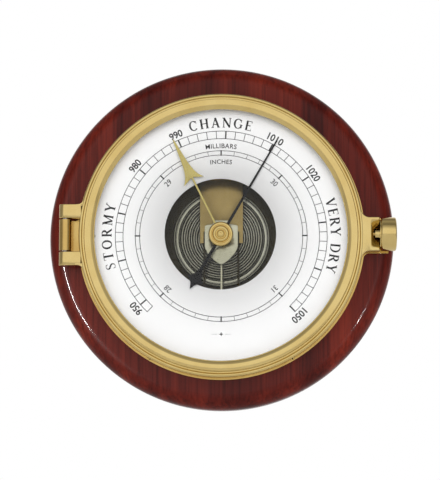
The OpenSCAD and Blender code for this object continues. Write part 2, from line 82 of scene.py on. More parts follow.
def metal(name, base, dark, rough=0.16, grain=(900, 900, 900), bump=0.03, worn=0.12, speck=0.0, bevel=0.00015, coat=0.0):
    """Polished or brushed metal: tone drift, brush grain in the roughness and a fine bump."""
    m, nt, out = new_mat(name)
    L = nt.links
    b = node(nt, "ShaderNodeBsdfPrincipled")
    L.new(b.outputs[0], out.inputs[0])
    put(b, "Metallic", 1.0)
    tc = node(nt, "ShaderNodeTexCoord")
    mp = node(nt, "ShaderNodeMapping")
    put(mp, "Scale", grain)
    L.new(tc.outputs["Object"], mp.inputs["Vector"])
    fine = node(nt, "ShaderNodeTexNoise")
    put(fine, "Scale", 1.0); put(fine, "Detail", 3.0)
    L.new(mp.outputs[0], fine.inputs["Vector"])
    drift = node(nt, "ShaderNodeTexNoise")
    put(drift, "Scale", 45.0); put(drift, "Detail", 4.0); put(drift, "Roughness", 0.6)
    L.new(tc.outputs["Object"], drift.inputs["Vector"])
    col = ramp(nt, [(0.30, dark), (0.62, base)])
    L.new(drift.outputs["Fac"], col.inputs[0])
    L.new(col.outputs[0], b.inputs["Base Color"])
    mr = node(nt, "ShaderNodeMapRange")
    put(mr, "From Min", 0.3); put(mr, "From Max", 0.7)
    put(mr, "To Min", max(0.02, rough - worn * 0.5)); put(mr, "To Max", rough + worn * 0.5)
    mix = node(nt, "ShaderNodeMath", operation="ADD")
    half = node(nt, "ShaderNodeMath", operation="MULTIPLY")
    half.inputs[1].default_value = 0.5
    L.new(fine.outputs["Fac"], mix.inputs[0]); L.new(drift.outputs["Fac"], mix.inputs[1])
    L.new(mix.outputs[0], half.inputs[0]); L.new(half.outputs[0], mr.inputs["Value"])
    L.new(mr.outputs[0], b.inputs["Roughness"])
    bv = node(nt, "ShaderNodeBevel")
    bv.samples = 4
    put(bv, "Radius", bevel)
    bp = node(nt, "ShaderNodeBump")
    put(bp, "Strength", bump); put(bp, "Distance", 0.00004)
    L.new(fine.outputs["Fac"], bp.inputs["Height"])
    L.new(bv.outputs[0], bp.inputs["Normal"])
    L.new(bp.outputs[0], b.inputs["Normal"])
    if coat:
        put(b, "Coat Weight", coat); put(b, "Coat Roughness", 0.05)
    return m


def mahogany():
    m, nt, out = new_mat("mahogany")
    L = nt.links
    b = node(nt, "ShaderNodeBsdfPrincipled")
    L.new(b.outputs[0], out.inputs[0])
    tc = node(nt, "ShaderNodeTexCoord")
    mp = node(nt, "ShaderNodeMapping")
    put(mp, "Scale", (60, 60, 3.2)); put(mp, "Rotation", (0, radians(3), 0))
    L.new(tc.outputs["Object"], mp.inputs["Vector"])
    warp = node(nt, "ShaderNodeTexNoise")
    put(warp, "Scale", 1.0); put(warp, "Detail", 3.0); put(warp, "Distortion", 0.6)
    L.new(mp.outputs[0], warp.inputs["Vector"])
    mp2 = node(nt, "ShaderNodeMapping")
    put(mp2, "Scale", (620, 620, 14))
    L.new(tc.outputs["Object"], mp2.inputs["Vector"])
    pores = node(nt, "ShaderNodeTexNoise")
    put(pores, "Scale", 1.0); put(pores, "Detail", 4.0); put(pores, "Roughness", 0.65)
    L.new(mp2.outputs[0], pores.inputs["Vector"])
    c1 = ramp(nt, [(0.30, srgb(72, 14, 8)), (0.52, srgb(108, 30, 19)), (0.75, srgb(140, 44, 26))])
    L.new(warp.outputs["Fac"], c1.inputs[0])
    c2 = ramp(nt, [(0.36, (0.26, 0.20, 0.18, 1)), (0.56, (1, 1, 1, 1))])
    L.new(pores.outputs["Fac"], c2.inputs[0])
    mul = node(nt, "ShaderNodeMix", data_type="RGBA", blend_type="MULTIPLY")
    mul.inputs[0].default_value = 0.55
    L.new(c1.outputs[0], mul.inputs[6]); L.new(c2.outputs[0], mul.inputs[7])
    L.new(mul.outputs[2], b.inputs["Base Color"])
    rr = node(nt, "ShaderNodeMapRange")
    put(rr, "From Min", 0.3); put(rr, "From Max", 0.7); put(rr, "To Min", 0.30); put(rr, "To Max", 0.42)
    L.new(pores.outputs["Fac"], rr.inputs["Value"]); L.new(rr.outputs[0], b.inputs["Roughness"])
    put(b, "Specular IOR Level", 0.06)
    put(b, "Coat Weight", 0.35); put(b, "Coat Roughness", 0.06); put(b, "Coat IOR", 1.35)
    bp = node(nt, "ShaderNodeBump")
    put(bp, "Strength", 0.12); put(bp, "Distance", 0.0001)
    L.new(pores.outputs["Fac"], bp.inputs["Height"]); L.new(bp.outputs[0], b.inputs["Normal"])
    return m


def paint(name, c, rough=0.45, mottle=0.03, spec=0.4, bump=0.03, scale=2600):
    m, nt, out = new_mat(name)
    L = nt.links
    b = node(nt, "ShaderNodeBsdfPrincipled")
    L.new(b.outputs[0], out.inputs[0])
    tc = node(nt, "ShaderNodeTexCoord")
    n1 = node(nt, "ShaderNodeTexNoise")
    put(n1, "Scale", 60.0); put(n1, "Detail", 4.0)
    L.new(tc.outputs["Object"], n1.inputs["Vector"])
    lo = tuple(x * (1 - mottle) for x in c[:3]) + (1,)
    hi = tuple(min(1, x * (1 + mottle)) for x in c[:3]) + (1,)
    r = ramp(nt, [(0.3, lo), (0.7, hi)])
    L.new(n1.outputs["Fac"], r.inputs[0]); L.new(r.outputs[0], b.inputs["Base Color"])
    n2 = node(nt, "ShaderNodeTexNoise")
    put(n2, "Scale", scale); put(n2, "Detail", 2.0)
    L.new(tc.outputs["Object"], n2.inputs["Vector"])
    mr = node(nt, "ShaderNodeMapRange")
    put(mr, "To Min", rough * 0.88); put(mr, "To Max", rough * 1.12)
    L.new(n2.outputs["Fac"], mr.inputs["Value"]); L.new(mr.outputs[0], b.inputs["Roughness"])
    bp = node(nt, "ShaderNodeBump")
    put(bp, "Strength", bump); put(bp, "Distance", 0.00005)
    L.new(n2.outputs["Fac"], bp.inputs["Height"]); L.new(bp.outputs[0], b.inputs["Normal"])
    put(b, "Specular IOR Level", spec)
    return m


def glass_mat():
    """Flat clear window: passes light straight through, with a weak surface reflection."""
    m, nt, out = new_mat("window_glass")
    L = nt.links
    tr = node(nt, "ShaderNodeBsdfTransparent")
    tr.inputs[0].default_value = (1, 1, 1, 1)
    gl = node(nt, "ShaderNodeBsdfGlossy")
    gl.inputs["Roughness"].default_value = 0.02
    tc = node(nt, "ShaderNodeTexCoord")
    n1 = node(nt, "ShaderNodeTexNoise")
    put(n1, "Scale", 30.0); put(n1, "Detail", 2.0)
    L.new(tc.outputs["Object"], n1.inputs["Vector"])
    mr = node(nt, "ShaderNodeMapRange")
    put(mr, "To Min", 0.01); put(mr, "To Max", 0.05)
    L.new(n1.outputs["Fac"], mr.inputs["Value"]); L.new(mr.outputs[0], gl.inputs["Roughness"])
    fr = node(nt, "ShaderNodeFresnel")
    put(fr, "IOR", 1.30)
    mx = node(nt, "ShaderNodeMixShader")
    L.new(fr.outputs[0], mx.inputs[0]); L.new(tr.outputs[0], mx.inputs[1]); L.new(gl.outputs[0], mx.inputs[2])
    L.new(mx.outputs[0], out.inputs[0])
    return m


def ringed():
    """Corrugated capsule: bright metal with painted reflection bands laid into the colour by radius, dark on the
    flanks of its waves and bright on the crests.
    """
    m = metal("capsule_painted_reflection_bands", srgb(232, 231, 218), srgb(196, 194, 176), rough=0.17, worn=0.10, grain=(1200, 1200, 1200), bump=0.04)
    nt = m.node_tree
    L = nt.links
    b = [n for n in nt.nodes if n.type == "BSDF_PRINCIPLED"][0]
    src = b.inputs["Base Color"].links[0].from_socket
    tc = node(nt, "ShaderNodeTexCoord")
    flat = node(nt, "ShaderNodeVectorMath", operation="MULTIPLY")
    flat.inputs[1].default_value = (1 / 0.032, 0, 1 / 0.032)
    ln = node(nt, "ShaderNodeVectorMath", operation="LENGTH")
    L.new(tc.outputs["Object"], flat.inputs[0]); L.new(flat.outputs[0], ln.inputs[0])
    # Painted reflection: the ramp darkens the metal colour on the wave flanks, at the centre and in the rim grooves,
    # and keeps it bright on the crests.
    stops = [(0.0, (0.30, 0.30, 0.26, 1))]
    for k in range(10):
        stops += [((9.7 + 1.45 * k) / 32, (0.80, 0.80, 0.76, 1)), ((10.42 + 1.45 * k) / 32, (0.022, 0.022, 0.016, 1))]
    stops += [(24.2 / 32, (0.85, 0.85, 0.8, 1)), (25.2 / 32, (0.02, 0.02, 0.015, 1)), (26.9 / 32, (0.6, 0.6, 0.55, 1)), (28.3 / 32, (0.012, 0.012, 0.01, 1)), (29.2 / 32, (0.7, 0.7, 0.62, 1))]
    reflection_band_ramp = ramp(nt, stops)
    L.new(ln.outputs["Value"], reflection_band_ramp.inputs[0])
    mul = node(nt, "ShaderNodeMix", data_type="RGBA", blend_type="MULTIPLY")
    mul.inputs[0].default_value = 1.0
    L.new(src, mul.inputs[6]); L.new(reflection_band_ramp.outputs[0], mul.inputs[7])
    L.new(mul.outputs[2], b.inputs["Base Color"])
    return m


M = {
    "wood": mahogany(),
    "brass": metal("case_brass", srgb(222, 197, 132), srgb(212, 184, 117), rough=0.12, worn=0.06, grain=(700, 700, 700), bump=0.02, coat=0.0),
    "brass_side": metal("brass_side", srgb(214, 182, 112), srgb(196, 160, 92), rough=0.2, worn=0.1, grain=(300, 2400, 300), bump=0.04),
    "mbrass": metal("movement_brass", srgb(172, 150, 96), srgb(142, 122, 74), rough=0.34, worn=0.14, grain=(3200, 300, 160), bump=0.10),
    "steel": metal("steel", srgb(196, 196, 198), srgb(160, 160, 164), rough=0.28, worn=0.14, grain=(1800, 400, 400), bump=0.06),
    "nickel": metal("nickel", srgb(206, 204, 180), srgb(180, 178, 150), rough=0.30, worn=0.12, grain=(260, 260, 3600), bump=0.06),
    # Painted shade: brass inside the case, darkened in its colour to stand for the shade behind the dial.
    "bronzed": metal("brass_painted_shade", srgb(58, 52, 31), srgb(34, 30, 17), rough=0.36, worn=0.15, grain=(900, 900, 900), bump=0.08),
    "chain": metal("chain_steel", srgb(74, 72, 66), srgb(48, 46, 42), rough=0.4, worn=0.15),
    # capsule metal with painted reflection bands in its colour
    "painted_reflection_bands": ringed(),
    "hand": metal("set_hand_brass", srgb(200, 186, 116), srgb(182, 166, 98), rough=0.24, worn=0.08, grain=(500, 500, 2600), bump=0.03),
    "capsule": metal("capsule_metal", srgb(200, 199, 184), srgb(166, 163, 145), rough=0.13, worn=0.12, grain=(1200, 1200, 1200), bump=0.04),
    "blue": metal("spring_blue", srgb(70, 82, 120), srgb(44, 52, 84), rough=0.3, worn=0.1),
    "alu": metal("dial_ring_metal", srgb(205, 205, 205), srgb(180, 180, 180), rough=0.35, worn=0.12),
    "white": paint("dial_white", srgb(252, 252, 252), rough=0.5, mottle=0.004, spec=0.15, bump=0.02),
    "print": paint("dial_print", srgb(22, 22, 24), rough=0.55, mottle=0.1, spec=0.2),
    "grey": paint("dial_print_fine", srgb(70, 70, 72), rough=0.55, mottle=0.06, spec=0.2),
    "black": paint("hand_black", srgb(12, 12, 14), rough=0.42, mottle=0.1, spec=0.15),
    "rubber": paint("gasket", srgb(26, 26, 26), rough=0.8, mottle=0.15, spec=0.2, bump=0.2),
    "bush": paint("bush", srgb(225, 222, 208), rough=0.5, mottle=0.04, spec=0.3),
    "glass": glass_mat(),
}


# ------------------------------------------------------------------ geometry helpers
def mesh_obj(name, verts, faces, mat, smooth=False, sharp=35):
    me = bpy.data.meshes.new(name)
    me.from_pydata([tuple(v) for v in verts], [], faces)
    me.materials.append(mat)
    bm = bmesh.new(); bm.from_mesh(me)
    bmesh.ops.remove_doubles(bm, verts=bm.verts, dist=1e-7)
    bmesh.ops.recalc_face_normals(bm, faces=bm.faces)
    if smooth:
        for f in bm.faces:
            f.smooth = True
        for e in bm.edges:
            if len(e.link_faces) == 2:
                e.smooth = e.calc_face_angle(0) < radians(sharp)
    bm.to_mesh(me); bm.free()
    o = bpy.data.objects.new(name, me)
    bpy.context.collection.objects.link(o)
    return o


def lathe(name, prof, mat, steps=256, closed=True, sharp=30, rad=None, axis="z"):
    """Turns (r, z) points about the dial axis; rad(r, z, angle) may change the radius. axis 'x' turns about X."""
    V, F = [], []
    n = len(prof)
    for i in range(steps):
        a = 2 * pi * i / steps
        for r, z in prof:
            rr = rad(r, z, a) if rad else r
            if axis == "z":
                V.append(P(rr * cos(a), rr * sin(a), z))
            else:
                V.append(P(z, rr * cos(a), axis_z + rr * sin(a)))
    m = n if closed else n - 1
    for i in range(steps):
        j = (i + 1) % steps
        for k in range(m):
            l = (k + 1) % n
            a, b, c, d = i * n + k, j * n + k, j * n + l, i * n + l
            F.append((a, b, c, d))
    return mesh_obj(name, V, F, mat, True, sharp)


axis_z = 32.5


def rnd(pts, r, seg=5):
    """Rounds the corners of a closed (r, z) outline. Each point may carry its own radius as a third number."""
    out = []
    n = len(pts)
    for i in range(n):
        p0, p1, p2 = Vector(pts[i - 1][:2]), Vector(pts[i][:2]), Vector(pts[(i + 1) % n][:2])
        rr = pts[i][2] if len(pts[i]) > 2 else r
        d0, d1 = (p0 - p1), (p2 - p1)
        l0, l1 = d0.length, d1.length
        if rr <= 0 or l0 < 1e-9 or l1 < 1e-9:
            out.append(tuple(p1)); continue
        d0.normalize(); d1.normalize()
        ang = d0.angle(d1)
        if ang > radians(177):
            out.append(tuple(p1)); continue
        t = min(rr / max(1e-6, abs(sin(ang / 2) / cos(ang / 2))), 0.48 * l0, 0.48 * l1)
        a, b = p1 + d0 * t, p1 + d1 * t
        for k in range(seg + 1):
            u = k / seg
            out.append(tuple(a * (1 - u) ** 2 + p1 * 2 * u * (1 - u) + b * u ** 2))
    return out


def prism(name, outline, z0, z1, mat, bevel=0.2, seg=3, place=P, sharp=35):
    """A plate with the outline (x, y) from z0 to z1, edges rounded by bevel."""
    me = bpy.data.meshes.new(name)
    bm = bmesh.new()
    vs = [bm.verts.new((x, y, z0)) for x, y in outline]
    f = bm.faces.new(vs)
    r = bmesh.ops.extrude_face_region(bm, geom=[f])
    for v in [g for g in r["geom"] if isinstance(g, bmesh.types.BMVert)]:
        v.co.z = z1
    bmesh.ops.recalc_face_normals(bm, faces=bm.faces)
    if bevel > 0:
        es = [e for e in bm.edges if len(e.link_faces) == 2 and abs(e.verts[0].co.z - e.verts[1].co.z) < 1e-9]
        bmesh.ops.bevel(bm, geom=es, offset=bevel, segments=seg, affect="EDGES", profile=0.5, clamp_overlap=True)
    for f in bm.faces:
        f.smooth = True
    for e in bm.edges:
        if len(e.link_faces) == 2:
            e.smooth = e.calc_face_angle(0) < radians(sharp)
    for v in bm.verts:
        v.co = place(v.co.x, v.co.y, v.co.z)
    bmesh.ops.recalc_face_normals(bm, faces=bm.faces)
    bm.to_mesh(me); bm.free()
    me.materials.append(mat)
    o = bpy.data.objects.new(name, me)
    bpy.context.collection.objects.link(o)
    return o


def join(name, objs):
    bm = bmesh.new()
    mats = []
    for o in objs:
        me = o.data
        base = len(bm.faces)
        idx = []
        for mt in me.materials:
            if mt not in mats:
                mats.append(mt)
            idx.append(mats.index(mt))
        bm.from_mesh(me)
        bm.faces.ensure_lookup_table()
        for f in bm.faces[base:]:
            f.material_index = idx[f.material_index] if idx else 0
    me = bpy.data.meshes.new(name)
    bm.to_mesh(me); bm.free()
    for mt in mats:
        me.materials.append(mt)
    for o in objs:
        bpy.data.objects.remove(o)
    o = bpy.data.objects.new(name, me)
    bpy.context.collection.objects.link(o)
    return o


def cut(o, *cutters):
    """Takes the cutters out of o for good."""
    for c in cutters:
        md = o.modifiers.new("cut", "BOOLEAN")
        md.operation = "DIFFERENCE"; md.object = c; md.solver = "EXACT"
        bpy.context.view_layer.update()
        dg = bpy.context.evaluated_depsgraph_get()
        me = bpy.data.meshes.new_from_object(o.evaluated_get(dg))
        o.modifiers.clear()
        o.data = me
    for c in cutters:
        bpy.data.objects.remove(c)
    return o


def turn(o, deg):
    """Turns a piece built at 12 o'clock about the dial axis, counter-clockwise as read."""
    o.data.transform(Matrix.Rotation(radians(-deg), 4, "Y"))
    return o


def done(o, body, slot, *nodes):
    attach(o, body)
    if nodes:
        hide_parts(*nodes)
    return o



# ------------------------------------------------------------------ sizes shared with the CAD
BEZ_TOP, RING_TOP, SEAT = 35.2, 36.8, 34.4
GZ0, GZ1 = 31.55, 34.05
HX, HZ, KR = 93.9, 31.5, 3.7
DIAL = 27.0


def arc(cx, cy, r, a0, a1, n):
    return [(cx + r * cos(radians(a0 + (a1 - a0) * i / n)), cy + r * sin(radians(a0 + (a1 - a0) * i / n))) for i in range(n + 1)]


# ---- board
prof = [(80.5, 0.0), (104.3, 0.0), (104.8, 0.15), (105.0, 0.7)] + arc(95, 12, 10, 0, 90, 28) + [(80.9, 22.0), (80.5, 21.6)]
board = lathe("mahogany_board", prof, M["wood"], steps=360, sharp=40)


def box_cut(x0, x1, y0, y1, z0, z1):
    return prism("cutter", [(x0, y0), (x1, y0), (x1, y1), (x0, y1)], z0, z1, M["wood"], bevel=0)


KY = 90.5
c2 = prism("cutter", [(4.6, KY + 6.6), (-4.6, KY + 6.6), (-4.6, KY)] + [(5.4 * cos(radians(a)), KY + 5.4 * sin(radians(a))) for a in range(180, 361, 15)], -1, 9, M["wood"], bevel=0)
cut(board, box_cut(-18.1, 18.1, KY - 5.6, KY + 10.6, -1, 1.6), c2)
done(board, "case", "wood", "mount_board")

# ---- bezel
bead = arc(84.55, 34.3, 1.15, 150, 0, 12)
prof = [(76.0, 34.4), (76.0, 35.55), (76.12, 35.72), (76.42, 35.74), (76.62, 35.86), (78.15, 36.62), (78.5, 36.76), (78.9, 36.8), (81.7, 36.8), (82.05, 36.72), (82.22, 36.5),
        (82.3, 35.2), (82.5, 34.85), (82.95, 34.72), (83.35, 34.78)] + bead + [(85.7, 26.0), (85.4, 25.4), (81.0, 25.4), (81.0, 28.0), (79.6, 28.0), (79.6, 34.4)]
ringo = lathe("bezel_turning", prof, M["brass"], steps=360, sharp=28)
fil = arc(89.42, 15.2, 5, 189.65, 270, 10)
outline = fil + [(95.3, 10.2), (95.3, -10.2)] + [(x, -y) for x, y in reversed(fil)] + [(84.0 * cos(radians(a)), 84.0 * sin(radians(a))) for a in (-9.6, -6, -3, 0, 3, 6, 9.6)]
tab = prism("tab", outline, 27.6, BEZ_TOP, M["brass"], bevel=0.55, seg=4)
scoop = lathe("cutter", [(0.0, 90.4), (1.83, 90.4), (1.83, 90.9), (3.2, 91.5), (4.6, 92.6), (5.7, 94.0), (6.5, 95.9), (6.5, 97.0), (0.0, 97.0)], M["brass"], steps=72, axis="x")
hole = lathe("cutter", [(0.0, 87.5), (1.83, 87.5), (1.83, 91.2), (0.0, 91.2)], M["brass"], steps=40, axis="x")
cut(tab, scoop, box_cut(85.7, 89.0, -6.8, 6.8, 24, 34.0), hole)
ears = []
for s in (1, -1):
    side = [(-HX + KR * cos(radians(a)), HZ + KR * sin(radians(a))) for a in range(90, 271, 9)] + [(-84.3, HZ - KR), (-84.3, BEZ_TOP)]
    y0, y1 = (10.2, 18.5) if s > 0 else (-18.5, -10.2)
    e = prism("ear", side, y0, y1, M["brass"], bevel=0.4, seg=3, place=lambda a, b, c: P(a, c, b))
    e = cut(e, prism("cutter", [(-HX + 1.6 * cos(radians(a)), HZ + 1.6 * sin(radians(a))) for a in range(0, 360, 12)], y0 - 1, y1 + 1, M["brass"], bevel=0, place=lambda a, b, c: P(a, c, b)))
    f2 = arc(-86.05, 21.5, 3, 346, 270, 8)
    ol = [(x, y) for x, y in f2] + [(-87.5, 18.4), (-87.5, 17.4), (-82.3, 17.4), (-81.6, 20.0)]
    ol = [(x, s * y) for x, y in ol]
    g = prism("earfillet", ol, HZ - KR, BEZ_TOP - 0.02, M["brass"], bevel=0.12, seg=2)
    ears += [e, g]
bezel = join("bezel_casting", [ringo, tab] + ears)
done(bezel, "bezel", "case_brass", "bezel_ring")

glass = lathe("flat_glass", [(3.05, GZ0), (79.0, GZ0), (79.2, GZ0 + 0.2), (79.2, GZ1 - 0.2), (79.0, GZ1), (3.05, GZ1)], M["glass"], steps=256)
done(glass, "bezel", "glass", "window_glass")

# ---- set knob with its stud
Z0 = 34.65
kn = [(0.0, 29.95), (1.45, 29.95), (1.6, 30.1), (1.6, Z0), (6.6, Z0), (6.9, Z0 + 0.15), (7.3, Z0 + 0.6), (7.5, Z0 + 0.9), (7.5, Z0 + 2.3), (7.3, Z0 + 2.75), (6.7, Z0 + 3.1), (6.0, Z0 + 3.2), (5.75, Z0 + 3.05),
      (5.6, Z0 + 2.75), (5.3, Z0 + 2.68), (5.05, Z0 + 2.85), (4.85, Z0 + 3.6), (4.5, Z0 + 4.1), (3.9, Z0 + 4.3), (3.3, Z0 + 4.15), (3.0, Z0 + 3.75), (2.7, Z0 + 3.65), (2.35, Z0 + 3.8), (2.1, Z0 + 4.35), (1.7, Z0 + 4.7), (1.1, Z0 + 4.9), (0.62, Z0 + 4.86), (0.5, Z0 + 4.5), (0.0, Z0 + 4.35)]
knob = lathe("set_knob_turned", kn, M["brass"], steps=288, closed=False, sharp=50,
             rad=lambda r, z, a: r - (0.13 * abs(sin(36 * a)) if r > 7.25 else 0))
done(knob, "setter", "case_brass", "set_knob")

# ---- set hand
def sym(pts):
    return [(w, y) for w, y in pts] + [(-w, y) for w, y in reversed(pts)]


half = [(1.1, 0.0), (0.95, 3.0), (0.62, 8.0), (0.56, 20.0), (0.56, 38.9), (1.2, 38.75), (2.6, 38.2), (4.4, 37.4), (6.75, 36.5), (5.4, 38.3), (4.1, 40.3), (3.2, 42.6), (2.5, 45.2), (2.0, 48.0), (1.62, 51.0), (1.3, 54.5), (1.0, 58.0), (0.72, 61.5), (0.46, 64.0), (0.2, 65.4)]
hand = prism("set_hand_blade", sym(half), 30.3, 30.7, M["hand"], bevel=0.10, seg=2)
boss = lathe("set_hand_boss", [(1.65, 30.25), (3.0, 30.25), (3.1, 30.35), (3.1, 30.75), (3.0, 30.82), (1.65, 30.82)], M["hand"], steps=96)
sh = turn(join("set_hand_stamped", [hand, boss]), 26.5)
done(sh, "setter", "case_brass", "set_hand")

# ---- pressure hand
half = [(1.0, -22.8), (1.2, -24.6), (1.9, -26.9), (3.2, -28.9), (4.9, -30.6), (4.6, -31.6), (3.4, -32.3), (2.2, -33.2), (1.2, -34.6), (0.5, -36.3), (0.12, -37.2)]
up = [(0.1, 68.4), (0.46, 66.8), (0.95, 0.0)]
pts = up + half
ol = [(w, y) for w, y in pts] + [(-w, y) for w, y in reversed(pts)]
blade = prism("pressure_hand_blade", ol, 28.2, 28.5, M["black"], bevel=0.07, seg=2)
hubp = lathe("pressure_hand_hub", [(0.52, 27.9), (1.9, 27.9), (2.0, 28.0), (2.0, 28.75), (1.85, 28.9), (0.52, 28.9)], M["black"], steps=72)
ph = turn(join("pressure_hand_stamped", [blade, hubp]), -30.3)
done(ph, "pointer", "hand_black", "pressure_hand")

# ---- thumb screw, turned about X
T0 = 95.95
tp = [(0.0, 88.45), (1.3, 88.45), (1.75, 88.8), (1.75, 92.6), (3.1, 92.6), (3.1, T0), (9.2, T0), (9.75, T0 + 0.15), (10.05, T0 + 0.55), (10.15, T0 + 1.1), (10.15, T0 + 8.1), (10.02, T0 + 8.7), (9.6, T0 + 9.1), (8.9, T0 + 9.3), (7.0, T0 + 9.52), (4.0, T0 + 9.72), (0.0, T0 + 9.85)]
r0 = tp[:3]
x = 88.9
while x < 92.2:
    r0 += [(1.75, x), (1.5, x + 0.2), (1.75, x + 0.4)]
    x += 0.8
thumb = lathe("thumb_screw_turned", r0 + tp[3:], M["brass"], steps=160, closed=False, axis="x", sharp=30)
done(thumb, "clamp_screw", "case_brass", "thumb_screw")

# ---- dial with its print
dial = lathe("enamelled_dial", [(0.0, 26.0), (78.4, 26.0), (78.6, 26.1), (78.6, 26.9), (78.45, DIAL), (0.0, DIAL)], M["white"], steps=256, closed=False)
cut(dial, prism("cutter", [(-0.5 + 33.75 * cos(radians(2 * i)), 1.1 + 33.75 * sin(radians(2 * i))) for i in range(180)], 24, 29, M["white"], bevel=0))
done(dial, "case", "dial_white", "dial_plate")
PZ = DIAL + 0.03


class Ink:
    def __init__(self):
        self.v, self.f = [], []

    def poly(self, pts):
        b = len(self.v)
        self.v += [P(x, y, PZ) for x, y in pts]
        self.f.append(tuple(range(b, b + len(pts))))

    def band(self, r0, r1, a0, a1, step=1.5):
        n = max(2, int(abs(a1 - a0) / step))
        for i in range(n):
            p, q = radians(a0 + (a1 - a0) * i / n), radians(a0 + (a1 - a0) * (i + 1) / n)
            self.poly([(r0 * cos(p), r0 * sin(p)), (r1 * cos(p), r1 * sin(p)), (r1 * cos(q), r1 * sin(q)), (r0 * cos(q), r0 * sin(q))])

    def tick(self, ang, r0, r1, w):
        a = radians(ang)
        c, s_ = cos(a), sin(a)
        self.poly([(r0 * c - w / 2 * s_, r0 * s_ + w / 2 * c), (r0 * c + w / 2 * s_, r0 * s_ - w / 2 * c), (r1 * c + w / 2 * s_, r1 * s_ - w / 2 * c), (r1 * c - w / 2 * s_, r1 * s_ + w / 2 * c)])

    def obj(self, name, mat):
        me = bpy.data.meshes.new(name)
        me.from_pydata([tuple(v) for v in self.v], [], self.f)
        me.materials.append(mat)
        o = bpy.data.objects.new(name, me)
        bpy.context.collection.objects.link(o)
        return o


ink, fine = Ink(), Ink()
mb = lambda p: 87.35 - 2.665 * (p - 1000)
LW = 0.40
for r in (64.05, 59.4):
    fine.band(r - LW / 2, r + LW / 2, mb(1050), mb(948))
for r in (51.95, 49.3):
    fine.band(r - LW / 2, r + LW / 2, 0, 360)
for p in range(948, 1051, 2):
    if p % 10:
        fine.tick(mb(p), 59.4, 64.05, LW if p != 948 else 0.45)
    else:
        ink.tick(mb(p), 59.3, 64.15, 0.85)
for k in range(40):
    if k % 5:
        fine.tick(k * 9, 49.3, 51.95, 0.26)
    else:
        ink.tick(k * 9, 48.9, 52.3, 0.8)


def bent(pts, rc, th, ink_):
    """Lays flat (x, y) points round the dial: x runs clockwise from the angle th, y outward from the radius rc."""
    out = []
    for x, y in pts:
        a = radians(th) - x / rc
        out.append(((rc + y) * cos(a), (rc + y) * sin(a)))
    ink_.poly(out)


# capitals with thick and thin strokes, one unit high. Each is a list of strokes of (x, y, width) points.
TH, TN, SF = 0.182, 0.085, 0.062


def serif(x, y, w=0.30):
    return [(x - w / 2, y, SF), (x + w / 2, y, SF)]


def ell(cx, cy, rx, ry, a0, a1, wt, wn, n=22):
    out = []
    for i in range(n + 1):
        a = radians(a0 + (a1 - a0) * i / n)
        k = abs(cos(a))
        out.append((cx + rx * cos(a), cy + ry * sin(a), wn + (wt - wn) * k ** 1.5))
    return out


